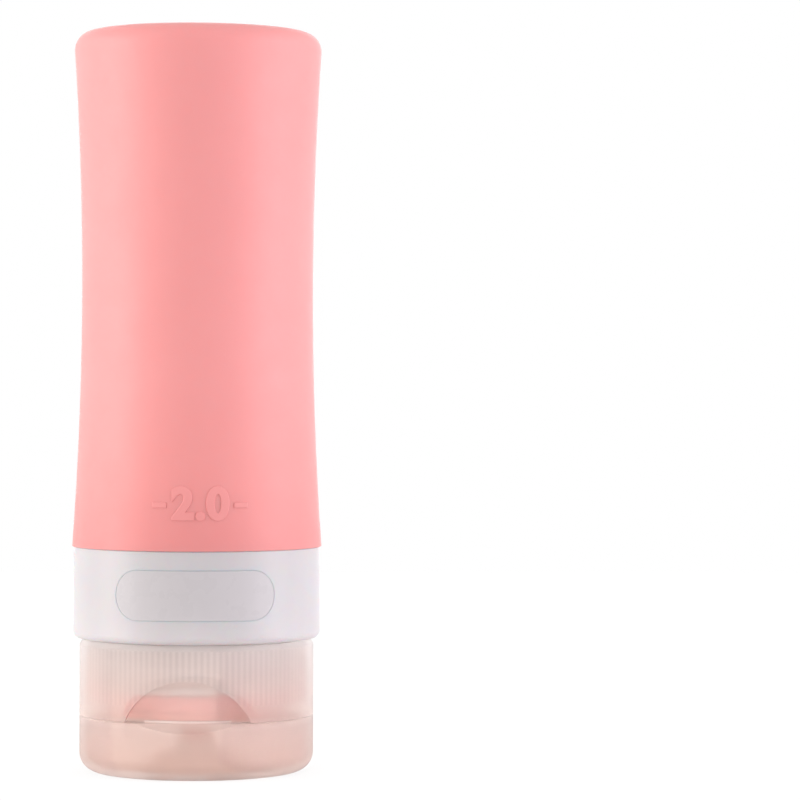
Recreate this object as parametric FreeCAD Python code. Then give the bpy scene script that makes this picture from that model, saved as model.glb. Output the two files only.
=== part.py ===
import FreeCAD, Part
import math
import os

# Travel squeeze bottle of soft silicone, standing on its flip-top cap, in millimetres.
# +Z runs from the cap's end up to the tube's closed end, and the front is -Y.

# Overall sizes
TUBE_LENGTH = 79.25
COLLAR_RADIUS = 19.0
COLLAR_HEIGHT = 14.1
BASE_HEIGHT = 11.75
LID_HEIGHT = 8.7
CAP_STEP = 0.95
CAP_TURN = -4.0

# Gaps and clearances
SHOULDER_GAP = 0.05
COLLAR_GAP = 0.1
SEAM_GAP = 0.05
TURN_CLEARANCE = 0.2
FLIP_CLEARANCE = 0.4
SEAT_CLEARANCE = 0.05
OVERRUN = 1.0
TOLERANCE = 0.001

# Squeeze tube
TUBE_FLARE = 0.25
WAIST_DEPTH = 1.41
TUBE_WALL = 2.1
TUBE_END_WALL = 2.4
SHOULDER_WALL = 2.4
TUBE_END_FILLET = 2.8
TUBE_EDGE_FILLET = 0.4
CAVITY_END_FILLET = 1.6
CAVITY_DRAIN_FILLET = 3.5
MOUTH_FILLET = 1.0
NECK_WALL = 1.5
LIP_HEIGHT = 2.5
LIP_FILLET = 0.6
KEY_RIB_DEPTH = 5.0

# Neck insert and label ring
INSERT_WALL = 1.25
INSERT_WEB = 1.2
INSERT_CHAMFER = 0.4
CHANNEL_WIDTH = 1.9
DRUM_WALL = 1.2
LABEL_WALL = 1.0
LABEL_CHAMFER = 0.25

# Collar and its window
COLLAR_WALL = 1.05
COLLAR_FLANGE = 1.1
COLLAR_FILLET = 1.0
COLLAR_EDGE_FILLET = 0.2
WINDOW_LENGTH = 25.7
WINDOW_HEIGHT = 7.6
WINDOW_RAISE = 7.4

# Seal washer
WASHER_THICKNESS = 1.0
WASHER_WIDTH = 2.9

# Cap base
CAP_WALL = 1.1
SKIRT_WALL = 1.1
SKIRT_SETBACK = 0.4
THREAD_ROOM = 0.85
DECK_WALL = 1.1
DECK_DROP = 1.0
FOOT_WALL = 1.15
CAP_CHAMFER_WIDTH = 0.5
CAP_CHAMFER_HEIGHT = 0.9
SEAM_FILLET = 0.12
RIB_COUNT = 120
RIB_HEIGHT = 0.35
RIB_LAND = 0.05
RIB_FOOT = 1.4
RIB_HEAD = 0.5
SCOOP_WIDTH = 19.2
SCOOP_HEIGHT = 6.4
SCOOP_WALL = 1.0

# Cap lid
LID_END_WALL = 1.1
LID_FILLET = 3.0
DIMPLE_RADIUS = 8.4
DIMPLE_RISE = 3.0
DIMPLE_EDGE_FILLET = 0.5
PLUG_PLAY = 0.6
PLUG_WALL = 0.8
PLUG_HEIGHT = 1.5
BEVEL_DROP = 1.4
THUMB_BAR_LENGTH = 13.1
THUMB_BAR_WALL = 0.55
THUMB_BAR_RISE = 0.35
LIP_WALL = 0.9

# Living hinge
HINGE_FLAT_DEPTH = 1.05
HINGE_FLAT_LID = 3.45
HINGE_FLAT_BASE = 4.2
HINGE_LUG_WIDTH = 14.0
HINGE_LUG_WALL = 1.2
STRAP_COUNT = 2
STRAP_WIDTH = 3.6
STRAP_PITCH = 6.0
STRAP_FOOT = 2.2
STRAP_FILM = 0.35

# Valve and its retainer
SPOUT_ROOT_RADIUS = 2.8
SPOUT_TIP_RADIUS = 1.6
SPOUT_TIP_GAP = 0.2
VALVE_WALL = 0.8
VALVE_FLANGE_WIDTH = 2.4
VALVE_FLANGE_THICKNESS = 1.0
SLIT_LENGTH = 2.0
SLIT_WIDTH = 0.12
RETAINER_BORE = 2.6
RETAINER_THICKNESS = 1.1
VALVE_SEAT_WALL = 1.1

# Heights, stacked from the lid's end
BASE_LOW = LID_HEIGHT + SEAM_GAP
BASE_TOP = BASE_LOW + BASE_HEIGHT
FOOT_TOP = BASE_LOW + FOOT_WALL
DECK_LOW = BASE_LOW - DECK_DROP
DECK_TOP = DECK_LOW + DECK_WALL
SKIRT_TOP = BASE_TOP - SKIRT_SETBACK
WASHER_LOW = DECK_TOP + SEAT_CLEARANCE
LIP_LOW = WASHER_LOW + WASHER_THICKNESS + SEAT_CLEARANCE
LIP_TOP = LIP_LOW + LIP_HEIGHT
COLLAR_LOW = BASE_TOP + COLLAR_GAP
COLLAR_TOP = COLLAR_LOW + COLLAR_HEIGHT
SHOULDER = COLLAR_TOP + SHOULDER_GAP
TUBE_TOP = SHOULDER + TUBE_LENGTH
INSERT_LOW = LIP_TOP + SEAT_CLEARANCE
INSERT_TOP = SHOULDER - SEAT_CLEARANCE
WEB_LOW = COLLAR_LOW + COLLAR_FLANGE + SHOULDER_GAP
WEB_TOP = WEB_LOW + INSERT_WEB
WINDOW_MIDDLE = COLLAR_LOW + WINDOW_RAISE
DOME_TOP = DIMPLE_RISE + LID_END_WALL

# Radii, nested inward from the collar
TUBE_END_RADIUS = COLLAR_RADIUS + TUBE_FLARE
COLLAR_INNER = COLLAR_RADIUS - COLLAR_WALL
LABEL_OUTER = COLLAR_INNER - TURN_CLEARANCE
LABEL_INNER = LABEL_OUTER - LABEL_WALL
DRUM_OUTER = LABEL_INNER - SEAT_CLEARANCE
DRUM_INNER = DRUM_OUTER - DRUM_WALL
INSERT_OUTER = DRUM_INNER - CHANNEL_WIDTH
INSERT_INNER = INSERT_OUTER - INSERT_WALL
NECK_OUTER = INSERT_INNER - SEAT_CLEARANCE
NECK_INNER = NECK_OUTER - NECK_WALL

# Radii of the cap, from the neck out to the cap's wall
SKIRT_INNER = INSERT_OUTER + THREAD_ROOM
SKIRT_OUTER = SKIRT_INNER + SKIRT_WALL
CAP_RADIUS = COLLAR_RADIUS - CAP_STEP
SHELL_INNER = CAP_RADIUS - CAP_WALL
DECK_RADIUS = SKIRT_OUTER - FLIP_CLEARANCE
THUMB_BAR_INNER = SKIRT_OUTER + TURN_CLEARANCE
THUMB_BAR_OUTER = THUMB_BAR_INNER + THUMB_BAR_WALL
SCOOP_RADIUS = (SCOOP_WIDTH ** 2 / 4 + SCOOP_HEIGHT ** 2) / (2 * SCOOP_HEIGHT)
HINGE_FLAT = CAP_RADIUS - HINGE_FLAT_DEPTH
VALVE_FLANGE_RADIUS = SPOUT_ROOT_RADIUS + VALVE_FLANGE_WIDTH
VALVE_SEAT_INNER = VALVE_FLANGE_RADIUS + SEAT_CLEARANCE
VALVE_SEAT_TOP = DECK_TOP + VALVE_FLANGE_THICKNESS + RETAINER_THICKNESS + 2 * SEAT_CLEARANCE

ORIGIN = FreeCAD.Vector(0, 0, 0)
UP = FreeCAD.Vector(0, 0, 1)
FORWARD = FreeCAD.Vector(0, -1, 0)
FULL_TURN = 360.0
FRONT_ANGLE = -90.0


def on_axis(height):
    """Point on the bottle's axis."""
    return FreeCAD.Vector(0, 0, height)


def in_section(radius, height):
    """Point of a turned outline."""
    return FreeCAD.Vector(radius, 0, height)


def turned(corners):
    """Solid turned about the axis from a closed outline of (radius, height) corners."""
    points = [in_section(*corner) for corner in corners]
    outline = Part.Face(Part.makePolygon(points + points[:1]))
    return outline.revolve(ORIGIN, UP, FULL_TURN)


def disc(radius, low, high):
    """Upright cylinder about the axis."""
    return Part.makeCylinder(radius, high - low, on_axis(low))


def ring(inner, outer, low, high):
    """Upright ring about the axis."""
    return turned([(inner, low), (outer, low), (outer, high), (inner, high)])


def block(width, front, back, low, high):
    """Box centred on X, between two depths along Y and two heights."""
    corner = FreeCAD.Vector(-width / 2, front, low)
    return Part.makeBox(width, back - front, high - low, corner)


def rounded(solid, fillet, *rims):
    """Fillet the circular edges that lie at the given (radius, height) rims."""
    edges = [edge for edge in solid.Edges if any(is_rim(edge, *rim) for rim in rims)]
    return solid.makeFillet(fillet, edges)


def is_rim(edge, radius, height):
    """Whether an edge is the circle about the axis with this radius and height."""
    if edge.Degenerated or not isinstance(edge.Curve, Part.Circle):
        return False
    return abs(edge.Curve.Radius - radius) < TOLERANCE and abs(edge.Curve.Center.z - height) < TOLERANCE


def waisted(end_radius, low, high):
    """Solid drawn in at its waist by one long arc between two flat ends."""
    waist = in_section(end_radius - WAIST_DEPTH, (low + high) / 2)
    side = Part.Arc(in_section(end_radius, low), waist, in_section(end_radius, high)).toShape()
    floor = Part.makeLine(on_axis(low), in_section(end_radius, low))
    ceiling = Part.makeLine(in_section(end_radius, high), on_axis(high))
    spine = Part.makeLine(on_axis(high), on_axis(low))
    return Part.Face(Part.Wire([floor, side, ceiling, spine])).revolve(ORIGIN, UP, FULL_TURN)


def make_squeeze_tube():
    """Silicone body with its neck, the lip that seals on the cap, and a rib that keys into the insert."""
    body = waisted(TUBE_END_RADIUS, SHOULDER, TUBE_TOP)
    body = rounded(body, TUBE_END_FILLET, (TUBE_END_RADIUS, TUBE_TOP))
    body = rounded(body, TUBE_EDGE_FILLET, (TUBE_END_RADIUS, SHOULDER))
    cavity_low = SHOULDER + SHOULDER_WALL
    cavity_top = TUBE_TOP - TUBE_END_WALL
    cavity_radius = TUBE_END_RADIUS - TUBE_WALL
    cavity = waisted(cavity_radius, cavity_low, cavity_top)
    cavity = rounded(cavity, CAVITY_END_FILLET, (cavity_radius, cavity_top))
    cavity = rounded(cavity, CAVITY_DRAIN_FILLET, (cavity_radius, cavity_low))
    lip_outer = INSERT_OUTER - SEAT_CLEARANCE
    lip = rounded(disc(lip_outer, LIP_LOW, LIP_TOP), LIP_FILLET, (lip_outer, LIP_LOW), (lip_outer, LIP_TOP))
    neck = disc(NECK_OUTER, LIP_LOW, cavity_low)
    key_rib_low = SHOULDER - KEY_RIB_DEPTH
    key_rib = ring(INSERT_OUTER + SEAT_CLEARANCE, DRUM_INNER - SEAT_CLEARANCE, key_rib_low, cavity_low)
    bore = disc(NECK_INNER, LIP_LOW - OVERRUN, cavity_low + OVERRUN)
    tube = body.fuse([neck, lip, key_rib]).cut(cavity).cut(bore).removeSplitter()
    return rounded(tube, MOUTH_FILLET, (NECK_INNER, cavity_low))


def make_neck_insert():
    """Rigid neck with a drum for the label ring, held in the silicone between shoulder and lip."""
    return turned([
        (INSERT_INNER, INSERT_LOW),
        (INSERT_OUTER - INSERT_CHAMFER, INSERT_LOW),
        (INSERT_OUTER, INSERT_LOW + INSERT_CHAMFER),
        (INSERT_OUTER, WEB_LOW),
        (LABEL_OUTER, WEB_LOW),
        (LABEL_OUTER, WEB_TOP),
        (DRUM_OUTER, WEB_TOP),
        (DRUM_OUTER, INSERT_TOP),
        (DRUM_INNER, INSERT_TOP),
        (DRUM_INNER, WEB_TOP),
        (INSERT_OUTER, WEB_TOP),
        (INSERT_OUTER, INSERT_TOP),
        (INSERT_INNER, INSERT_TOP),
    ])


def make_label_ring():
    """Blank ring that shows through the collar's window."""
    low = WEB_TOP + SEAT_CLEARANCE
    high = COLLAR_TOP - COLLAR_FLANGE - TURN_CLEARANCE
    return turned([
        (LABEL_INNER, low),
        (LABEL_OUTER - LABEL_CHAMFER, low),
        (LABEL_OUTER, low + LABEL_CHAMFER),
        (LABEL_OUTER, high - LABEL_CHAMFER),
        (LABEL_OUTER - LABEL_CHAMFER, high),
        (LABEL_INNER, high),
    ])


def wrapped_obround(length, height):
    """Obround plug through the collar's wall, wrapped round its front."""
    half = height / 2
    inner = COLLAR_INNER - OVERRUN
    outer = COLLAR_RADIUS + OVERRUN
    low = WINDOW_MIDDLE - half
    high = WINDOW_MIDDLE + half
    reach = math.degrees((length / 2 - half) / COLLAR_RADIUS)
    corners = [in_section(*corner) for corner in ((inner, low), (outer, low), (outer, high), (inner, high))]
    section = Part.Face(Part.makePolygon(corners + corners[:1]))
    section.rotate(ORIGIN, UP, FRONT_ANGLE - reach)
    plug = section.revolve(ORIGIN, UP, 2 * reach)
    for turn in (-reach, reach):
        end = Part.makeCylinder(half, outer - inner, FORWARD * inner + on_axis(WINDOW_MIDDLE), FORWARD)
        end.rotate(ORIGIN, UP, turn)
        plug = plug.fuse(end)
    return plug.removeSplitter()


def make_collar():
    """Turning ring, captive on the insert by a flange above the label ring and one below the web."""
    top_bore = DRUM_OUTER + TURN_CLEARANCE
    collar = turned([
        (SKIRT_INNER, COLLAR_LOW),
        (COLLAR_RADIUS, COLLAR_LOW),
        (COLLAR_RADIUS, COLLAR_TOP),
        (top_bore, COLLAR_TOP),
        (top_bore, COLLAR_TOP - COLLAR_FLANGE),
        (COLLAR_INNER, COLLAR_TOP - COLLAR_FLANGE),
        (COLLAR_INNER, COLLAR_LOW + COLLAR_FLANGE),
        (SKIRT_INNER, COLLAR_LOW + COLLAR_FLANGE),
    ])
    collar = rounded(collar, COLLAR_FILLET, (COLLAR_RADIUS, COLLAR_LOW))
    collar = rounded(collar, COLLAR_EDGE_FILLET, (COLLAR_RADIUS, COLLAR_TOP))
    return collar.cut(wrapped_obround(WINDOW_LENGTH, WINDOW_HEIGHT))


def make_window_lens():
    """Clear insert, flush in the collar's window."""
    play = 2 * SEAT_CLEARANCE
    plug = wrapped_obround(WINDOW_LENGTH - play, WINDOW_HEIGHT - play)
    return plug.common(ring(COLLAR_INNER, COLLAR_RADIUS, COLLAR_LOW, COLLAR_TOP))


def make_seal_washer():
    """Soft washer between the tube's lip and the cap's deck."""
    outer = NECK_INNER + WASHER_WIDTH
    return ring(NECK_INNER, outer, WASHER_LOW, WASHER_LOW + WASHER_THICKNESS)


def scoop_bar(radius):
    """Round bar along the scoop's axis, running out through the cap's front."""
    middle = BASE_LOW + SCOOP_HEIGHT - SCOOP_RADIUS
    return Part.makeCylinder(radius, CAP_RADIUS + OVERRUN, on_axis(middle), FORWARD)


def rib_core(low, high):
    """Prism whose toothed side leaves the grip ribs inside the cap's wall."""
    root = SHELL_INNER - RIB_LAND
    tip = root - RIB_HEIGHT
    step = math.pi / RIB_COUNT
    points = []
    for index in range(2 * RIB_COUNT):
        radius = tip if index % 2 else root
        angle = index * step
        points.append(FreeCAD.Vector(radius * math.cos(angle), radius * math.sin(angle), low))
    return Part.Face(Part.makePolygon(points + points[:1])).extrude(UP * (high - low))


def cap_gap():
    """Space between the cap's wall and its threaded skirt, left solid round the scoop and the hinge."""
    ribs_low = FOOT_TOP + RIB_FOOT
    ribs_high = SKIRT_TOP - RIB_HEAD
    foot = disc(SHELL_INNER, FOOT_TOP, ribs_low)
    head = disc(SHELL_INNER, ribs_high, BASE_TOP + OVERRUN)
    core = rib_core(ribs_low, ribs_high).fuse([foot, head])
    skirt = disc(SKIRT_OUTER, FOOT_TOP - OVERRUN, SKIRT_TOP)
    lug_top = BASE_LOW + HINGE_FLAT_BASE + HINGE_LUG_WALL
    lug = block(HINGE_LUG_WIDTH, 0, CAP_RADIUS, FOOT_TOP - OVERRUN, lug_top)
    return core.cut(skirt).cut(scoop_bar(SCOOP_RADIUS + SCOOP_WALL)).cut(lug)


def make_cap_base():
    """Cap body: ribbed wall, threaded skirt, deck that drops into the lid, finger scoop and hinge flat."""
    body = turned([
        (SKIRT_INNER, BASE_LOW),
        (CAP_RADIUS, BASE_LOW),
        (CAP_RADIUS, BASE_TOP - CAP_CHAMFER_HEIGHT),
        (CAP_RADIUS - CAP_CHAMFER_WIDTH, BASE_TOP),
        (SKIRT_INNER, BASE_TOP),
    ])
    body = rounded(body, SEAM_FILLET, (CAP_RADIUS, BASE_LOW))
    scoop = scoop_bar(SCOOP_RADIUS).cut(disc(SKIRT_OUTER, 0, BASE_TOP))
    flat_top = BASE_LOW + HINGE_FLAT_BASE
    flat = block(2 * CAP_RADIUS, HINGE_FLAT, CAP_RADIUS + OVERRUN, BASE_LOW - OVERRUN, flat_top)
    body = body.cut(cap_gap()).cut(scoop).cut(flat)
    seat = ring(VALVE_SEAT_INNER, VALVE_SEAT_INNER + VALVE_SEAT_WALL, DECK_TOP, VALVE_SEAT_TOP)
    deck = ring(SPOUT_ROOT_RADIUS + SEAT_CLEARANCE, DECK_RADIUS, DECK_LOW, DECK_TOP)
    return body.fuse([deck, seat]).removeSplitter()


def dome(thickness):
    """Ball whose top rises into the lid as the dimple in its end."""
    radius = (DIMPLE_RADIUS ** 2 + DIMPLE_RISE ** 2) / (2 * DIMPLE_RISE)
    return Part.makeSphere(radius + thickness, on_axis(DIMPLE_RISE - radius), FORWARD)


def lid_cavity():
    """Hollow of the lid, left solid at the dome, the thumb shelf and the hinge."""
    hollow = disc(SHELL_INNER, LID_END_WALL, LID_HEIGHT + OVERRUN)
    hollow = rounded(hollow, LID_FILLET - CAP_WALL, (SHELL_INNER, LID_END_WALL))
    shelf_low = LID_HEIGHT - BEVEL_DROP - LIP_WALL
    shelf = block(SCOOP_WIDTH, -CAP_RADIUS, 0, shelf_low, LID_HEIGHT + OVERRUN)
    shelf = shelf.cut(disc(SKIRT_OUTER, 0, BASE_TOP))
    lug_front = HINGE_FLAT - HINGE_LUG_WALL
    lug_low = LID_HEIGHT - HINGE_FLAT_LID - HINGE_LUG_WALL
    lug = block(HINGE_LUG_WIDTH, lug_front, CAP_RADIUS, lug_low, LID_HEIGHT + OVERRUN)
    return hollow.cut(dome(LID_END_WALL)).cut(shelf).cut(lug)


def thumb_bevel():
    """Wedge that slopes the lid's front edge down from the thumb bar."""
    edge = -THUMB_BAR_OUTER
    outside = -(CAP_RADIUS + OVERRUN)
    above = LID_HEIGHT + OVERRUN
    below = LID_HEIGHT - BEVEL_DROP
    side = [(edge, LID_HEIGHT), (-CAP_RADIUS, below), (outside, below), (outside, above), (edge, above)]
    points = [FreeCAD.Vector(-CAP_RADIUS, depth, height) for depth, height in side]
    return Part.Face(Part.makePolygon(points + points[:1])).extrude(FreeCAD.Vector(2 * CAP_RADIUS, 0, 0))


def thumb_bar():
    """Curved bar that the thumb pushes on, standing up into the scoop behind the bevel."""
    low = LID_HEIGHT - BEVEL_DROP
    high = LID_HEIGHT + THUMB_BAR_RISE
    arc = ring(THUMB_BAR_INNER, THUMB_BAR_OUTER, low, high)
    return arc.common(block(THUMB_BAR_LENGTH, -CAP_RADIUS, 0, low, high))


def make_cap_lid():
    """Flip lid with its dimpled end, the plug ring round the spout, thumb lip and hinge flat."""
    body = rounded(disc(CAP_RADIUS, 0, LID_HEIGHT), LID_FILLET, (CAP_RADIUS, 0))
    body = rounded(body, SEAM_FILLET, (CAP_RADIUS, LID_HEIGHT))
    body = body.cut(lid_cavity()).cut(dome(0))
    body = rounded(body, DIMPLE_EDGE_FILLET, (DIMPLE_RADIUS, 0))
    flat_low = LID_HEIGHT - HINGE_FLAT_LID
    flat = block(2 * CAP_RADIUS, HINGE_FLAT, CAP_RADIUS + OVERRUN, flat_low, LID_HEIGHT + OVERRUN)
    plug_inner = SPOUT_TIP_RADIUS + PLUG_PLAY
    plug = ring(plug_inner, plug_inner + PLUG_WALL, DIMPLE_RISE, DOME_TOP + PLUG_HEIGHT)
    return body.cut(thumb_bevel()).cut(flat).fuse([plug, thumb_bar()]).removeSplitter()


def make_living_hinge():
    """Film straps over the seam, on the flats at the back of lid and base."""
    low = LID_HEIGHT - STRAP_FOOT
    high = BASE_LOW + STRAP_FOOT
    strap = block(STRAP_WIDTH, HINGE_FLAT, HINGE_FLAT + STRAP_FILM, low, high)
    straps = []
    for index in range(STRAP_COUNT):
        copy = strap.copy()
        copy.translate(FreeCAD.Vector((index - (STRAP_COUNT - 1) / 2) * STRAP_PITCH, 0, 0))
        straps.append(copy)
    return Part.makeCompound(straps)


def make_slit_valve():
    """No-drip valve: a flange, a tapered spout through the deck and a cross-slit end."""
    flange_low = DECK_TOP + SEAT_CLEARANCE
    flange_top = flange_low + VALVE_FLANGE_THICKNESS
    tip = DOME_TOP + SPOUT_TIP_GAP
    valve = turned([
        (0, tip),
        (SPOUT_TIP_RADIUS, tip),
        (SPOUT_ROOT_RADIUS, DECK_LOW),
        (SPOUT_ROOT_RADIUS, flange_low),
        (VALVE_FLANGE_RADIUS, flange_low),
        (VALVE_FLANGE_RADIUS, flange_top),
        (SPOUT_ROOT_RADIUS - VALVE_WALL, flange_top),
        (SPOUT_TIP_RADIUS - VALVE_WALL, tip + VALVE_WALL),
        (0, tip + VALVE_WALL),
    ])
    slit = block(SLIT_LENGTH, -SLIT_WIDTH / 2, SLIT_WIDTH / 2, tip - OVERRUN, tip + VALVE_WALL + OVERRUN)
    cross = slit.copy()
    cross.rotate(ORIGIN, UP, FRONT_ANGLE)
    return valve.cut(slit.fuse(cross))


def make_valve_retainer():
    """Ring that holds the valve's flange down on the deck."""
    low = DECK_TOP + VALVE_FLANGE_THICKNESS + 2 * SEAT_CLEARANCE
    return ring(RETAINER_BORE, VALVE_FLANGE_RADIUS, low, low + RETAINER_THICKNESS)


def turned_with_cap(shape):
    """The cap's pieces stand where the thread stops, a little off the collar's window."""
    shape.rotate(ORIGIN, UP, CAP_TURN)
    return shape


PIECES = {
    "squeeze_tube": make_squeeze_tube(),
    "neck_insert": make_neck_insert(),
    "label_ring": make_label_ring(),
    "collar": make_collar(),
    "window_lens": make_window_lens(),
    "seal_washer": make_seal_washer(),
    "cap_base": turned_with_cap(make_cap_base()),
    "cap_lid": turned_with_cap(make_cap_lid()),
    "living_hinge": turned_with_cap(make_living_hinge()),
    "slit_valve": turned_with_cap(make_slit_valve()),
    "valve_retainer": turned_with_cap(make_valve_retainer()),
}

os.makedirs("parts", exist_ok=True)
for name, shape in PIECES.items():
    shape.exportStep("parts/" + name + ".step")
    print(name, "valid" if shape.isValid() else "not valid", len(shape.Solids), round(shape.Volume))
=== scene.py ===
"""Looks of the travel squeeze bottle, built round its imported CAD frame. Outlines are in millimetres."""

import math

import bmesh
import bpy
from mathutils import Matrix, Vector


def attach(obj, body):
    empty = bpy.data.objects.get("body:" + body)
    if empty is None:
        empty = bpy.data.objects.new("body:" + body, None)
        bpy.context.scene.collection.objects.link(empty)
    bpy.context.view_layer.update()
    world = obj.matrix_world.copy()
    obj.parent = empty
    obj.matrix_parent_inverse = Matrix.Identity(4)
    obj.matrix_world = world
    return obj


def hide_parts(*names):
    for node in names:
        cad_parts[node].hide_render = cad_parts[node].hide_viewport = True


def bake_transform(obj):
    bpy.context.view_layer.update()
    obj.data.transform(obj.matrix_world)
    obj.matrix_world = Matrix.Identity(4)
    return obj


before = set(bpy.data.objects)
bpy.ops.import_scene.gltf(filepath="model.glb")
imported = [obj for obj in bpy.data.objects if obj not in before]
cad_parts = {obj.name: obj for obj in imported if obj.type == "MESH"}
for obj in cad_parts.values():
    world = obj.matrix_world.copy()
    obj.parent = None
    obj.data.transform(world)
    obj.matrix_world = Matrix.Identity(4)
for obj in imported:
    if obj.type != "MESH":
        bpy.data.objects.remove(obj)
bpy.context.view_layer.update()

MM = 0.001
FRONT = math.radians(-90.0)
CAP_TURN = math.radians(-4.0)
SEAT_CLEARANCE = 0.05

# Tube
SHOULDER, SEAT, TUBE_TOP = 34.75, 34.68, 114.0
TUBE_END, WAIST_DEPTH = 19.25, 1.41
TUBE_END_FILLET = 2.8
DISH_DEPTH, DISH_SLOPE, DISH_RADIUS, DISH_RIM, DISH_FILLET = 0.35, 0.22, 9.0, 15.5, 6.0
CAVITY_LOW, CAVITY_TOP, CAVITY_END = 37.15, 111.6, 17.15
KEY_RIB_LOW, KEY_RIB_INNER, KEY_RIB_OUTER = 29.75, 13.65, 15.45
LIP_LOW, LIP_TOP, LIP_OUTER = 9.95, 12.45, 13.55
LIP_FILLET = 0.6
NECK_OUTER, NECK_INNER = 12.3, 10.8
INSERT_OUTER = 13.6
CAVITY_END_FILLET, CAVITY_DRAIN_FILLET, MOUTH_FILLET = 1.6, 3.5, 1.0

# Collar and its window
COLLAR_RADIUS = 19.0
WINDOW_LENGTH, WINDOW_HEIGHT, WINDOW_MIDDLE = 25.65, 7.55, 28.0
BEAD_DEPTH, BEAD_WIDTH = 0.03, 0.24
BEAD_END_STEPS, BEAD_SIDE_STEPS = 24, 32

# Cap
SEAM = 8.725
DECK_LOW, DECK_TOP = 7.75, 8.85
SKIRT_INNER = 14.45
WASHER_WIDTH, SOFT_THICKNESS, SOFT_EDGE = 2.9, 1.0, 0.22
SPOUT_ROOT, SPOUT_TIP, SPOUT_LOW = 2.8, 1.6, 4.3
VALVE_FLANGE, VALVE_WALL = 5.2, 0.8
SLIT_LENGTH, SLIT_WIDTH, SLIT_HEIGHT = 2.0, 0.12, 3.0
RIB_COUNT, RIB_ROOT, RIB_LOW, RIB_HIGH = 120, 16.2, 11.3, 19.6

# Living hinge
HINGE_FLAT, HINGE_FILM = 17.0, 0.35
STRAP_WIDTH, STRAP_PITCH, STRAP_REACH = 3.6, 6.0, 2.225
FOLD_WIDTH, FOLD_THINNING, EDGE_THINNING = 0.45, 0.3, 0.35

# Thread
THREAD_LEAD = 4.0
RIDGE_FOOT, RIDGE_TOP, RIDGE_BURIED = 1.5, 0.7, 0.3
RIDGE_RUN_OUT, RIDGE_STEPS = 0.12, 72
NECK_CREST, NECK_RIDGE_LOW, NECK_RIDGE_HIGH = 14.25, 13.7, 19.0
SKIRT_CREST, SKIRT_RIDGE_LOW, SKIRT_RIDGE_HIGH = 13.8, 12.2, 18.6

# Raised number
NUMBER_HEIGHT = 41.6
NUMBER_TURN = math.radians(2.4)
NUMBER_SIZE, NUMBER_SPACING = 6.6, 1.08
NUMBER_SWELL, NUMBER_RELIEF, NUMBER_BEVEL = 0.2, 0.01, 0.12
DASH_SIZE, DASH_OFFSET, DASH_BEVEL = (2.2, 0.85, 0.26), 6.2, 0.11
BEVEL_STEPS = 4
WRAP_STEP, WRAP_COUNT = 0.5, 16

# Stage, in metres and watts
FLOOR_REACH, FLOOR_BOUNCE, FLOOR_SEEN, FLOOR_GLOW, FLOOR_CLEAR = 0.55, 0.75, 0.6, 0.54, 0.75
FILL = 0.64
VIEW_TURN = math.radians(-2.3)
VIEW_ROLL = math.radians(-0.18)
VIEW_PLACE = (0.03133, -0.54, 0.06035)
LENS, LENS_SHIFT = 157.0, -0.0244
AIM = 0.06
WARM_WHITE, COOL_WHITE, CARD_WHITE = (1.0, 0.98, 0.97), (0.95, 0.925, 1.0), (1.0, 0.97, 0.96)


# Outlines and meshes

def at(radius, angle, height):
    """Point in metres, from a radius, an angle and a height in millimetres."""
    return radius * math.cos(angle) * MM, radius * math.sin(angle) * MM, height * MM


def rounded_path(corners, steps):
    """Open outline of (radius, height) points, from corners of (radius, height[, fillet])."""
    path = []
    last = len(corners) - 1
    for index, corner in enumerate(corners):
        here = Vector(corner[:2])
        fillet = corner[2] if len(corner) > 2 else 0
        if not fillet or index in (0, last):
            path.append(here)
            continue
        back = (Vector(corners[index - 1][:2]) - here).normalized()
        on = (Vector(corners[index + 1][:2]) - here).normalized()
        half = math.acos(max(-1, min(1, back.dot(on)))) / 2
        reach = fillet / math.tan(half)
        middle = here + (back + on).normalized() * fillet / math.sin(half)
        start, end = here + back * reach - middle, here + on * reach - middle
        sweep = math.atan2(start.x * end.y - start.y * end.x, start.dot(end))
        for step in range(steps + 1):
            turn = sweep * step / steps
            cos, sin = math.cos(turn), math.sin(turn)
            path.append(middle + Vector((start.x * cos - start.y * sin, start.x * sin + start.y * cos)))
    return [tuple(point) for point in path]


def waist_radius(end_radius, low, high, height):
    """Radius at a height of the long arc that draws a wall in between two ends."""
    half = (high - low) / 2
    radius = (half ** 2 + WAIST_DEPTH ** 2) / (2 * WAIST_DEPTH)
    return end_radius - WAIST_DEPTH + radius - math.sqrt(radius ** 2 - (height - (low + high) / 2) ** 2)


def waist(end_radius, low, high, count, margin):
    """Points of that arc, clear of its ends by the margins."""
    span = high - low - sum(margin)
    heights = [low + margin[0] + span * step / (count - 1) for step in range(count)]
    return [(waist_radius(end_radius, low, high, height), height) for height in heights]


def finished(name, mesh, material, body, slot, *nodes, crease=40):
    """Object of a mesh, smooth but for its creases, that rides on a body and stands for the CAD nodes."""
    mesh.shade_smooth()
    mesh.set_sharp_from_angle(angle=math.radians(crease))
    mesh.materials.clear()
    mesh.materials.append(material)
    piece = bpy.data.objects.new(name, mesh)
    bpy.context.scene.collection.objects.link(piece)
    if body:
        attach(piece, body)
    if nodes:
        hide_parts(*nodes)
    return piece


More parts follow.
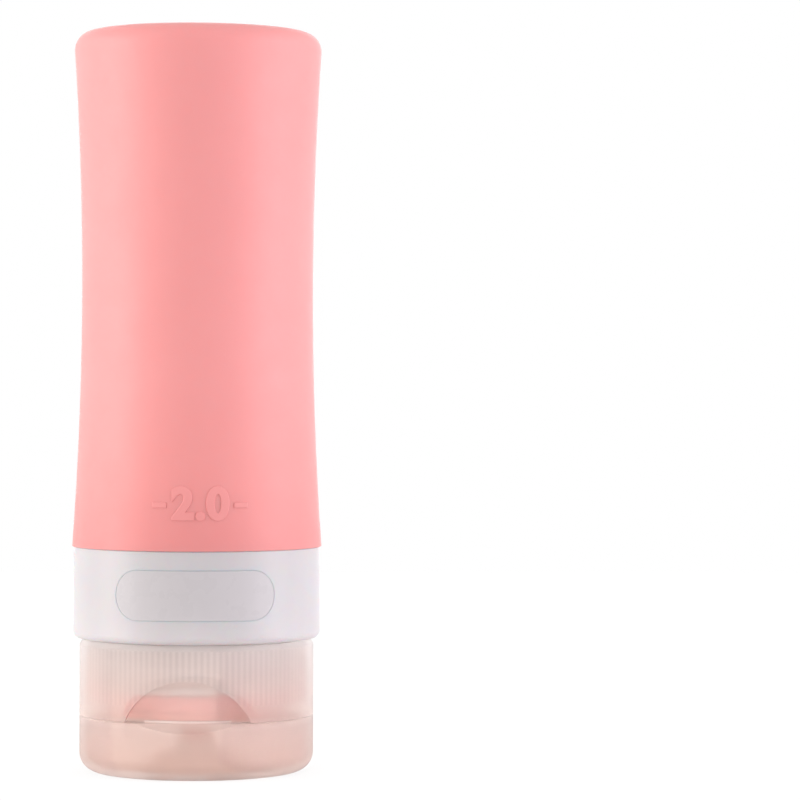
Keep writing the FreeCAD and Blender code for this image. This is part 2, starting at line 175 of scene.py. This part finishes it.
def lathe(name, outline, segments, closed=False):
    """Mesh turned about Z. An open outline starts and ends on the axis."""
    mesh = bpy.data.meshes.new(name)
    work = bmesh.new()
    rings = []
    for radius, height in outline:
        if radius < 1e-6:
            rings.append([work.verts.new((0, 0, height * MM))])
            continue
        turns = [2 * math.pi * index / segments for index in range(segments)]
        rings.append([work.verts.new(at(radius, turn, height)) for turn in turns])
    pairs = list(zip(rings, rings[1:] + rings[:1])) if closed else list(zip(rings, rings[1:]))
    for one, two in pairs:
        for index in range(segments):
            after = (index + 1) % segments
            if len(one) == 1:
                work.faces.new((one[0], two[index], two[after]))
            elif len(two) == 1:
                work.faces.new((one[index], two[0], one[after]))
            else:
                work.faces.new((one[index], two[index], two[after], one[after]))
    bmesh.ops.recalc_face_normals(work, faces=work.faces)
    work.to_mesh(mesh)
    work.free()
    return mesh


def ridge(name, root, crest, low, high, phase):
    """Thread ridge, right-hand, from root to crest radius, whose ends run out into the wall."""
    mesh = bpy.data.meshes.new(name)
    work = bmesh.new()
    turns = (high - low) / THREAD_LEAD
    count = int(RIDGE_STEPS * turns)
    foot, top = RIDGE_FOOT / 2, RIDGE_TOP / 2
    buried = root - (crest - root) * RIDGE_BURIED
    rings = []
    for index in range(count + 1):
        share = index / count
        fade = min(1, share * turns / RIDGE_RUN_OUT, (1 - share) * turns / RIDGE_RUN_OUT)
        reach = root + (crest - root) * math.sin(fade * math.pi / 2)
        angle = phase + 2 * math.pi * turns * share
        height = low + (high - low) * share
        section = [(buried, -foot), (root, -foot), (reach, -top), (reach, top), (root, foot), (buried, foot)]
        rings.append([work.verts.new(at(radius, angle, height + rise)) for radius, rise in section])
    for one, two in zip(rings, rings[1:]):
        for index in range(len(one)):
            after = (index + 1) % len(one)
            work.faces.new((one[index], one[after], two[after], two[index]))
    work.faces.new(rings[0])
    work.faces.new(rings[-1])
    bmesh.ops.recalc_face_normals(work, faces=work.faces)
    work.to_mesh(mesh)
    work.free()
    return mesh


# Materials

def shader_of(name, **sockets):
    """New material, with values set on its shader's own sockets."""
    material = bpy.data.materials.new(name)
    material.use_nodes = True
    shader = material.node_tree.nodes["Principled BSDF"]
    for socket, value in sockets.items():
        shader.inputs[socket.replace("_", " ")].default_value = value
    return material, material.node_tree, shader


def noise(tree, scale, detail, stretch=(1, 1, 1)):
    """Noise over the piece's own coordinates, with features about 1 / scale metres wide."""
    place = tree.nodes.new("ShaderNodeTexCoord")
    mapping = tree.nodes.new("ShaderNodeMapping")
    mapping.inputs["Scale"].default_value = stretch
    texture = tree.nodes.new("ShaderNodeTexNoise")
    texture.inputs["Scale"].default_value = scale
    texture.inputs["Detail"].default_value = detail
    tree.links.new(place.outputs["Object"], mapping.inputs["Vector"])
    tree.links.new(mapping.outputs["Vector"], texture.inputs["Vector"])
    return texture.outputs["Fac"]


def ramp(tree, source, *stops):
    """Colour ramp over a value, with stops of (place, colour)."""
    node = tree.nodes.new("ShaderNodeValToRGB")
    while len(node.color_ramp.elements) < len(stops):
        node.color_ramp.elements.new(0.5)
    for element, (place, colour) in zip(node.color_ramp.elements, stops):
        element.position = place
        element.color = (*colour, 1)
    tree.links.new(source, node.inputs["Fac"])
    return node.outputs["Color"]


def by_height(tree, *stops):
    """Colour over the height in millimetres, with stops of (height, colour)."""
    place = tree.nodes.new("ShaderNodeTexCoord")
    parts = tree.nodes.new("ShaderNodeSeparateXYZ")
    tree.links.new(place.outputs["Object"], parts.inputs["Vector"])
    low, high = stops[0][0], stops[-1][0]
    node = tree.nodes.new("ShaderNodeMapRange")
    node.inputs["From Min"].default_value = low * MM
    node.inputs["From Max"].default_value = high * MM
    tree.links.new(parts.outputs["Z"], node.inputs["Value"])
    return ramp(tree, node.outputs["Result"], *[((height - low) / (high - low), colour) for height, colour in stops])


def tinted(tree, colour, shade):
    """Colour multiplied by a shade."""
    node = tree.nodes.new("ShaderNodeMix")
    node.data_type, node.blend_type = "RGBA", "MULTIPLY"
    node.inputs["Factor"].default_value = 1.0
    tree.links.new(colour, node.inputs["A"])
    tree.links.new(shade, node.inputs["B"])
    return node.outputs["Result"]


def spread(tree, source, low, high):
    """Value drawn from 0.3 to 0.7 of a noise out to low and high."""
    node = tree.nodes.new("ShaderNodeMapRange")
    for socket, value in (("From Min", 0.3), ("From Max", 0.7), ("To Min", low), ("To Max", high)):
        node.inputs[socket].default_value = value
    tree.links.new(source, node.inputs["Value"])
    return node.outputs["Result"]


def relief(tree, shader, source, height, edge=0.0):
    """Bump of that height in millimetres, over edges softened by a small radius."""
    bump = tree.nodes.new("ShaderNodeBump")
    bump.inputs["Strength"].default_value = 1.0
    bump.inputs["Distance"].default_value = height * MM
    tree.links.new(source, bump.inputs["Height"])
    if edge:
        bevel = tree.nodes.new("ShaderNodeBevel")
        bevel.samples = 4
        bevel.inputs["Radius"].default_value = edge * MM
        tree.links.new(bevel.outputs["Normal"], bump.inputs["Normal"])
    tree.links.new(bump.outputs["Normal"], shader.inputs["Normal"])


def silicone_material(name, *stops, depth=0.35):
    """Soft moulded silicone with a dusty sheen and faint clouding, whose colour changes with height."""
    material, tree, shader = shader_of(
        name, IOR=1.41, Sheen_Weight=0.12, Sheen_Roughness=0.45, Subsurface_Weight=depth, Subsurface_Scale=0.002,
    )
    shader.inputs["Sheen Tint"].default_value = (1.0, 0.86, 0.84, 1)
    shader.inputs["Subsurface Radius"].default_value = (1.0, 0.45, 0.4)
    cloud = ramp(tree, noise(tree, 70, 4), (0.3, (0.975, 0.965, 0.965)), (0.7, (1, 1, 1)))
    tree.links.new(tinted(tree, by_height(tree, *stops), cloud), shader.inputs["Base Color"])
    tree.links.new(spread(tree, noise(tree, 260, 5), 0.46, 0.56), shader.inputs["Roughness"])
    relief(tree, shader, noise(tree, 5200, 2), 0.006)
    return material


def plastic_material(name, stops, rough, edge, clouding=0.02, **sockets):
    """Moulded plastic with faint flow clouding, handling haze and rounded edges, whose colour changes with height."""
    material, tree, shader = shader_of(name, **sockets)
    flow = ramp(tree, noise(tree, 220, 5, (1, 1, 0.5)), (0.3, [1 - clouding] * 3), (0.7, (1, 1, 1)))
    tree.links.new(tinted(tree, by_height(tree, *stops), flow), shader.inputs["Base Color"])
    tree.links.new(spread(tree, noise(tree, 420, 3), *rough), shader.inputs["Roughness"])
    relief(tree, shader, noise(tree, 2600, 2), 0.002, edge)
    return material


# The pink darkens towards the collar: partly the deeper colour of the thicker silicone there, partly painted shade.
SILICONE_TONES_AND_PAINTED_SHADE = (34.75, (0.84, 0.300, 0.290)), (44.0, (0.90, 0.330, 0.318)), (60.0, (0.93, 0.357, 0.348))
SILICONE = silicone_material("silicone_pink", *SILICONE_TONES_AND_PAINTED_SHADE)
NUMBER = silicone_material("number_pink", *SILICONE_TONES_AND_PAINTED_SHADE, depth=0.0)
# The spout is a lighter red than the flange: painted light that lifts it out of the shade inside the lid.
VALVE = silicone_material("valve_silicone_pink", (4.3, (0.97, 0.310, 0.280)), (9.9, (0.90, 0.310, 0.290)))
COLLAR = plastic_material(
    "collar_white", [(20.7, (0.640, 0.604, 0.615)), (34.7, (0.640, 0.604, 0.615))], (0.30, 0.34), 0.12, IOR=1.3,
    Subsurface_Weight=0.5, Subsurface_Scale=0.0012,
)
NECK = plastic_material(
    "neck_white", [(12.5, (0.70, 0.68, 0.67)), (34.7, (0.68, 0.66, 0.65))], (0.38, 0.5), 0.1, IOR=1.49,
)
# Label ring whiter than the collar: painted light in the shaded joint round the window.
LABEL = plastic_material(
    "label_white", [(23.1, (0.90, 0.865, 0.875)), (33.4, (0.89, 0.855, 0.865))], (0.60, 0.62), 0.1, 0.005, IOR=1.45,
)
WINDOW = plastic_material(
    "window_clear", [(24.2, (0.656, 0.617, 0.629)), (31.8, (0.662, 0.624, 0.636))], (0.27, 0.28), 0.1, 0.003,
    IOR=1.3, Alpha=0.9,
)
CAP_ALPHA, LID_ALPHA = 0.54, 0.62
# Cap base colour by height: the pink low down is painted light, the glow of the pink silicone inside showing through,
# and the near-white top is painted light that lifts the shade under the collar.
CAP_TONES_AND_PAINTED_LIGHT = [
    (8.7, (0.92, 0.755, 0.69)), (9.4, (0.86, 0.69, 0.625)), (11.0, (0.87, 0.722, 0.67)),
    (19.2, (0.925, 0.838, 0.808)), (20.2, (1.0, 0.95, 0.93)),
]
# Lid colour by height: darker and pinker towards its foot, as painted shade and a painted pink glow from the silicone
# inside.
LID_TONES_AND_PAINTED_LIGHT = [
    (0.0, (0.68, 0.467, 0.397)), (1.6, (0.75, 0.545, 0.475)), (7.6, (0.755, 0.59, 0.535)),
    (8.6, (0.86, 0.705, 0.65)), (9.1, (0.96, 0.89, 0.86)),
]
FROSTED = plastic_material(
    "cap_frosted", CAP_TONES_AND_PAINTED_LIGHT, (0.42, 0.48), 0.12, IOR=1.15, Transmission_Weight=0.5, Alpha=CAP_ALPHA,
)
LID = plastic_material(
    "lid_frosted", LID_TONES_AND_PAINTED_LIGHT, (0.42, 0.48), 0.12, IOR=1.15, Transmission_Weight=0.5, Alpha=LID_ALPHA,
)
RIB_SWING, RIB_MEAN = 0.016, 0.018


def show_ribs(material):
    """Milkier plastic along the grip ribs inside the cap's wall, most at the front and back."""
    tree = material.node_tree
    shader = tree.nodes["Principled BSDF"]
    place = tree.nodes.new("ShaderNodeTexCoord")
    parts = tree.nodes.new("ShaderNodeSeparateXYZ")
    tree.links.new(place.outputs["Object"], parts.inputs["Vector"])

    def math_node(operation, *values):
        node = tree.nodes.new("ShaderNodeMath")
        node.operation = operation
        for socket, value in zip(node.inputs, values):
            if isinstance(value, (int, float)):
                socket.default_value = value
            else:
                tree.links.new(value, socket)
        return node.outputs[0]

    around = math_node("ARCTAN2", parts.outputs["Y"], parts.outputs["X"])
    wave = math_node("COSINE", math_node("MULTIPLY", math_node("SUBTRACT", around, CAP_TURN), float(RIB_COUNT)))
    across = math_node("MULTIPLY", parts.outputs["X"], parts.outputs["X"])
    deep = math_node("MULTIPLY", parts.outputs["Y"], parts.outputs["Y"])
    outside = math_node("GREATER_THAN", math_node("SQRT", math_node("ADD", across, deep)), RIB_ROOT * MM)
    above = math_node("GREATER_THAN", parts.outputs["Z"], RIB_LOW * MM)
    below = math_node("LESS_THAN", parts.outputs["Z"], RIB_HIGH * MM)
    band = math_node("MULTIPLY", outside, math_node("MULTIPLY", above, below))
    facing = math_node("COSINE", math_node("MULTIPLY", math_node("SUBTRACT", around, CAP_TURN + FRONT), 2.0))
    depth = math_node("MULTIPLY_ADD", facing, RIB_SWING, RIB_MEAN)
    swing = math_node("MULTIPLY", wave, math_node("MULTIPLY", band, depth))
    tree.links.new(math_node("ADD", swing, CAP_ALPHA), shader.inputs["Alpha"])


show_ribs(FROSTED)


# Soft pieces

def make_tube():
    """Silicone body: waisted outside, dished closed end, neck, lip and cavity."""
    outline = [
        (0, TUBE_TOP - DISH_DEPTH), (DISH_RADIUS, TUBE_TOP - DISH_SLOPE),
        (DISH_RIM, TUBE_TOP, DISH_FILLET), (TUBE_END, TUBE_TOP, TUBE_END_FILLET),
    ]
    outline += reversed(waist(TUBE_END, SHOULDER, TUBE_TOP, 44, (2.4, 5.2)))
    outline += [
        (TUBE_END, SEAT, 0.1), (KEY_RIB_OUTER, SEAT, 0.2), (KEY_RIB_OUTER, KEY_RIB_LOW, 0.3),
        (KEY_RIB_INNER, KEY_RIB_LOW, 0.3), (KEY_RIB_INNER, SHOULDER, 0.15),
        (NECK_OUTER, SHOULDER, 0.15), (NECK_OUTER, LIP_TOP, 0.15),
        (LIP_OUTER, LIP_TOP, LIP_FILLET), (LIP_OUTER, LIP_LOW, LIP_FILLET),
        (NECK_INNER, LIP_LOW, 0.25), (NECK_INNER, CAVITY_LOW, MOUTH_FILLET),
        (CAVITY_END, CAVITY_LOW, CAVITY_DRAIN_FILLET),
    ]
    outline += waist(CAVITY_END, CAVITY_LOW, CAVITY_TOP, 24, (6.0, 4.0))
    outline += [(CAVITY_END, CAVITY_TOP, CAVITY_END_FILLET), (0, CAVITY_TOP)]
    mesh = lathe("tube_skin", rounded_path(outline, 10), 192)
    finished("tube_skin", mesh, SILICONE, "tube", "silicone", "squeeze_tube")


def make_washer():
    """Seal washer with soft edges."""
    inner, outer = NECK_INNER, NECK_INNER + WASHER_WIDTH
    low = DECK_TOP + SEAT_CLEARANCE
    high = low + SOFT_THICKNESS
    half = (low + high) / 2
    outline = [
        (inner, half), (inner, low, SOFT_EDGE), (outer, low, SOFT_EDGE),
        (outer, high, SOFT_EDGE), (inner, high, SOFT_EDGE), (inner, half),
    ]
    mesh = lathe("washer_ring", rounded_path(outline, 4)[:-1], 128, closed=True)
    finished("washer_ring", mesh, SILICONE, "seal", "silicone", "seal_washer")


def mesh_of(piece):
    """Mesh of an object with its modifiers or its text applied. The object is removed."""
    bpy.context.scene.collection.objects.link(piece)
    bpy.context.view_layer.update()
    mesh = bpy.data.meshes.new_from_object(piece.evaluated_get(bpy.context.evaluated_depsgraph_get()))
    bpy.data.objects.remove(piece)
    return mesh


def make_number():
    """Raised capacity number between two level dashes, wrapped round the tube's front."""
    font = bpy.data.curves.new("number", "FONT")
    font.body = "2.0"
    font.align_x, font.align_y = "CENTER", "CENTER"
    font.size, font.space_character = NUMBER_SIZE, NUMBER_SPACING
    font.offset, font.extrude, font.bevel_depth = NUMBER_SWELL, NUMBER_RELIEF, NUMBER_BEVEL
    font.bevel_resolution = BEVEL_STEPS
    work = bmesh.new()
    work.from_mesh(mesh_of(bpy.data.objects.new("number", font)))
    for side in (-1, 1):
        dash = bmesh.ops.create_cube(work, size=1.0)["verts"]
        bmesh.ops.scale(work, vec=DASH_SIZE, verts=dash)
        bmesh.ops.translate(work, vec=(side * DASH_OFFSET, 0, 0), verts=dash)
        edges = list({edge for vert in dash for edge in vert.link_edges})
        bmesh.ops.bevel(work, geom=edges, offset=DASH_BEVEL, segments=BEVEL_STEPS, profile=0.5, affect="EDGES")
    for step in range(-WRAP_COUNT, WRAP_COUNT + 1):
        geometry = work.verts[:] + work.edges[:] + work.faces[:]
        bmesh.ops.bisect_plane(work, geom=geometry, plane_co=(step * WRAP_STEP, 0, 0), plane_no=(1, 0, 0))
    for vert in work.verts:
        across, up, out = vert.co
        height = NUMBER_HEIGHT + up
        radius = waist_radius(TUBE_END, SHOULDER, TUBE_TOP, height)
        vert.co = at(radius + out, FRONT + NUMBER_TURN + across / radius, height)
    mesh = bpy.data.meshes.new("capacity_number")
    work.to_mesh(mesh)
    work.free()
    finished("capacity_number", mesh, NUMBER, "tube", "silicone", crease=80)


def make_valve():
    """Slit valve: soft flange, tapered spout and a cross of fine slits through its end."""
    low = DECK_TOP + SEAT_CLEARANCE
    top = low + SOFT_THICKNESS
    outline = [
        (0, SPOUT_LOW), (SPOUT_TIP, SPOUT_LOW, 0.35), (SPOUT_ROOT, DECK_LOW, 0.2), (SPOUT_ROOT, low, 0.12),
        (VALVE_FLANGE, low, SOFT_EDGE), (VALVE_FLANGE, top, SOFT_EDGE), (SPOUT_ROOT - VALVE_WALL, top, 0.3),
        (SPOUT_TIP - VALVE_WALL, SPOUT_LOW + VALVE_WALL, 0.15), (0, SPOUT_LOW + VALVE_WALL),
    ]
    valve = bpy.data.objects.new("valve", lathe("valve", rounded_path(outline, 5), 64))
    for turn in (0, 90):
        work = bmesh.new()
        bmesh.ops.create_cube(work, size=1.0)
        bmesh.ops.scale(work, vec=(SLIT_LENGTH * MM, SLIT_WIDTH * MM, SLIT_HEIGHT * MM), verts=work.verts)
        bmesh.ops.rotate(work, matrix=Matrix.Rotation(CAP_TURN + math.radians(turn), 3, "Z"), verts=work.verts)
        bmesh.ops.translate(work, vec=(0, 0, SPOUT_LOW * MM), verts=work.verts)
        blade = bpy.data.objects.new("blade", bpy.data.meshes.new("blade"))
        work.to_mesh(blade.data)
        work.free()
        cut = valve.modifiers.new("slit", "BOOLEAN")
        cut.operation, cut.solver, cut.object = "DIFFERENCE", "EXACT", blade
    blades = [cut.object for cut in valve.modifiers]
    mesh = mesh_of(valve)
    for blade in blades:
        bpy.data.objects.remove(blade)
    finished("valve_soft", mesh, VALVE, "cap", "valve_silicone", "slit_valve")


def make_hinge():
    """Film straps of the living hinge, thinned along the fold, between cap and lid."""
    work = bmesh.new()
    rows, columns = 40, 8
    for side in (-1, 1):
        sheets = []
        for face in (0, 1):
            sheet = []
            for row in range(rows + 1):
                rise = STRAP_REACH * (2 * row / rows - 1)
                fold = FOLD_THINNING * math.exp(-(rise / FOLD_WIDTH) ** 2)
                line = []
                for column in range(columns + 1):
                    share = 2 * column / columns - 1
                    edge = 1 - EDGE_THINNING * abs(share) ** 8
                    film = HINGE_FILM * ((1 - fold) * edge if face else fold / 2)
                    across = side * STRAP_PITCH / 2 + share * STRAP_WIDTH / 2
                    line.append(work.verts.new((across, HINGE_FLAT + film, SEAM + rise)))
                sheet.append(line)
            sheets.append(sheet)
        for sheet in sheets:
            for one, two in zip(sheet, sheet[1:]):
                for column in range(columns):
                    work.faces.new((one[column], one[column + 1], two[column + 1], two[column]))
        inner, outer = sheets
        rim = [(0, c) for c in range(columns)] + [(r, columns) for r in range(rows)]
        rim += [(rows, c) for c in range(columns, 0, -1)] + [(r, 0) for r in range(rows, 0, -1)]
        for (row, column), (to_row, to_column) in zip(rim, rim[1:] + rim[:1]):
            work.faces.new((
                inner[row][column], inner[to_row][to_column], outer[to_row][to_column], outer[row][column],
            ))
    bmesh.ops.recalc_face_normals(work, faces=work.faces)
    bmesh.ops.scale(work, vec=(MM, MM, MM), verts=work.verts)
    bmesh.ops.rotate(work, matrix=Matrix.Rotation(CAP_TURN, 3, "Z"), verts=work.verts)
    mesh = bpy.data.meshes.new("hinge_film")
    work.to_mesh(mesh)
    work.free()
    film = finished("hinge_film", mesh, FROSTED, None, "frosted_cap", "living_hinge")
    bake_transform(film)


def make_threads():
    """Thread ridges on the neck and in the cap's skirt, half a lead apart."""
    neck = ridge("neck_thread", INSERT_OUTER, NECK_CREST, NECK_RIDGE_LOW, NECK_RIDGE_HIGH, 0.0)
    finished("neck_thread", neck, NECK, "tube", "white_neck")
    phase = math.pi + 2 * math.pi * (SKIRT_RIDGE_LOW - NECK_RIDGE_LOW) / THREAD_LEAD
    skirt = ridge("skirt_thread", SKIRT_INNER, SKIRT_CREST, SKIRT_RIDGE_LOW, SKIRT_RIDGE_HIGH, phase)
    finished("skirt_thread", skirt, FROSTED, "cap", "frosted_cap")


def make_bead():
    """Bead that fills the joint round the window to just under the collar's surface."""
    half = WINDOW_HEIGHT / 2
    reach = (WINDOW_LENGTH / 2 - half) / COLLAR_RADIUS
    ends = [math.pi * (step / BEAD_END_STEPS - 0.5) for step in range(BEAD_END_STEPS + 1)]
    sides = [1 - 2 * step / BEAD_SIDE_STEPS for step in range(1, BEAD_SIDE_STEPS)]
    work = bmesh.new()
    rings = []
    for offset in (-BEAD_WIDTH / 2, BEAD_WIDTH / 2):
        size = half + offset
        path = []
        for side in (1, -1):
            for turn in ends:
                around = reach + math.asin(size * math.cos(turn) / COLLAR_RADIUS)
                path.append((side * around, side * size * math.sin(turn)))
            path += [(side * reach * share, side * size) for share in sides]
        radius = COLLAR_RADIUS - BEAD_DEPTH
        rings.append([work.verts.new(at(radius, FRONT + around, WINDOW_MIDDLE + rise)) for around, rise in path])
    inner, outer = rings
    for index in range(len(inner)):
        after = (index + 1) % len(inner)
        work.faces.new((inner[index], outer[index], outer[after], inner[after]))
    bmesh.ops.recalc_face_normals(work, faces=work.faces)
    mesh = bpy.data.meshes.new("window_bead")
    work.to_mesh(mesh)
    work.free()
    finished("window_bead", mesh, COLLAR, "collar", "white_collar")


make_tube()
make_number()
make_washer()
make_valve()
make_hinge()
make_threads()
make_bead()


# CAD nodes that keep their shape

for name, material in (
    ("neck_insert", NECK), ("label_ring", LABEL), ("collar", COLLAR), ("window_lens", WINDOW),
    ("cap_base", FROSTED), ("cap_lid", LID), ("valve_retainer", NECK),
):
    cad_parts[name].data.materials.clear()
    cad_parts[name].data.materials.append(material)


# Stage

def light_path(tree):
    """Value that is 1 for what the camera sees straight, in gloss or through something clear."""
    path = tree.nodes.new("ShaderNodeLightPath")
    value = path.outputs["Is Camera Ray"]
    for name in ("Is Glossy Ray", "Is Transmission Ray"):
        most = tree.nodes.new("ShaderNodeMath")
        most.operation = "MAXIMUM"
        tree.links.new(value, most.inputs[0])
        tree.links.new(path.outputs[name], most.inputs[1])
        value = most.outputs[0]
    return value


def make_floor():
    """Pale floor that shows as white, keeps a faint shadow and lets what a pose moves below it be seen."""
    mesh = bpy.data.meshes.new("floor")
    corners = [(FLOOR_REACH * x, FLOOR_REACH * y, 0) for x, y in ((-1, -1), (1, -1), (1, 1), (-1, 1))]
    mesh.from_pydata(corners, [], [(0, 1, 2, 3)])
    material = bpy.data.materials.new("floor_white")
    material.use_nodes = True
    tree = material.node_tree
    tree.nodes.remove(tree.nodes["Principled BSDF"])
    plain, seen = tree.nodes.new("ShaderNodeBsdfDiffuse"), tree.nodes.new("ShaderNodeBsdfDiffuse")
    plain.inputs["Color"].default_value = (FLOOR_BOUNCE, FLOOR_BOUNCE, FLOOR_BOUNCE, 1)
    seen.inputs["Color"].default_value = (FLOOR_SEEN, FLOOR_SEEN, FLOOR_SEEN, 1)
    glow = tree.nodes.new("ShaderNodeEmission")
    glow.inputs["Strength"].default_value = FLOOR_GLOW
    both, mix = tree.nodes.new("ShaderNodeAddShader"), tree.nodes.new("ShaderNodeMixShader")
    tree.links.new(seen.outputs[0], both.inputs[0])
    tree.links.new(glow.outputs[0], both.inputs[1])
    tree.links.new(light_path(tree), mix.inputs["Fac"])
    tree.links.new(plain.outputs[0], mix.inputs[1])
    tree.links.new(both.outputs[0], mix.inputs[2])
    clear, thin = tree.nodes.new("ShaderNodeBsdfTransparent"), tree.nodes.new("ShaderNodeMixShader")
    share = tree.nodes.new("ShaderNodeMath")
    share.operation = "MULTIPLY"
    share.inputs[1].default_value = FLOOR_CLEAR
    tree.links.new(tree.nodes.new("ShaderNodeLightPath").outputs["Is Camera Ray"], share.inputs[0])
    tree.links.new(share.outputs[0], thin.inputs["Fac"])
    tree.links.new(mix.outputs[0], thin.inputs[1])
    tree.links.new(clear.outputs[0], thin.inputs[2])
    tree.links.new(thin.outputs[0], tree.nodes["Material Output"].inputs["Surface"])
    mesh.materials.append(material)
    floor = bpy.data.objects.new("floor", mesh)
    floor.visible_shadow = False
    bpy.context.scene.collection.objects.link(floor)


def make_world():
    """White where it is seen, and an even fill on the bottle."""
    world = bpy.data.worlds.new("studio")
    bpy.context.scene.world = world
    world.use_nodes = True
    tree = world.node_tree
    fill = tree.nodes["Background"]
    fill.inputs["Strength"].default_value = FILL
    white = tree.nodes.new("ShaderNodeBackground")
    white.inputs["Color"].default_value = (1, 1, 1, 1)
    fill.inputs["Color"].default_value = (1, 1, 1, 1)
    mix = tree.nodes.new("ShaderNodeMixShader")
    tree.links.new(light_path(tree), mix.inputs["Fac"])
    tree.links.new(fill.outputs[0], mix.inputs[1])
    tree.links.new(white.outputs[0], mix.inputs[2])
    tree.links.new(mix.outputs[0], tree.nodes["World Output"].inputs["Surface"])


def make_softbox(name, turn, height, distance, size, power, colour, aim=AIM, spread=180):
    """Area lamp aimed at a height on the bottle's axis, turned from the camera's side."""
    lamp = bpy.data.lights.new(name, "AREA")
    lamp.shape = "RECTANGLE"
    lamp.size, lamp.size_y = size
    lamp.energy = power
    lamp.spread = math.radians(spread)
    lamp.color = colour
    softbox = bpy.data.objects.new(name, lamp)
    angle = FRONT + VIEW_TURN + math.radians(turn)
    softbox.location = (distance * math.cos(angle), distance * math.sin(angle), height)
    way = Vector((0, 0, aim)) - softbox.location
    softbox.rotation_euler = way.to_track_quat("-Z", "Y").to_euler()
    bpy.context.scene.collection.objects.link(softbox)


def make_camera():
    """Camera at the photograph's angle: level, a little over the bottle's middle, the bottle left of its axis."""
    lens = bpy.data.cameras.new("camera")
    lens.sensor_width = 36.0
    lens.lens = LENS
    lens.shift_y = LENS_SHIFT
    lens.clip_start = 0.01
    lens.clip_end = 20.0
    camera = bpy.data.objects.new("camera", lens)
    turn = Matrix.Rotation(VIEW_TURN, 3, "Z")
    camera.location = turn @ Vector(VIEW_PLACE)
    camera.rotation_euler = (math.radians(90), VIEW_ROLL, VIEW_TURN)
    bpy.context.scene.collection.objects.link(camera)
    bpy.context.scene.camera = camera


make_floor()
make_world()
make_softbox("softbox_left", -75, 0.17, 0.75, (0.5, 0.6), 4.4, WARM_WHITE)
make_softbox("softbox_right", 75, 0.17, 0.75, (0.5, 0.6), 4.0, COOL_WHITE)
make_softbox("softbox_back", 180, 0.24, 0.80, (0.6, 0.5), 2.2, WARM_WHITE)
make_softbox("front_card", 0, 0.007, 0.32, (0.10, 0.02), 0.0040, CARD_WHITE, aim=0.006, spread=5)
make_camera()
bpy.context.scene.view_settings.view_transform = "Standard"
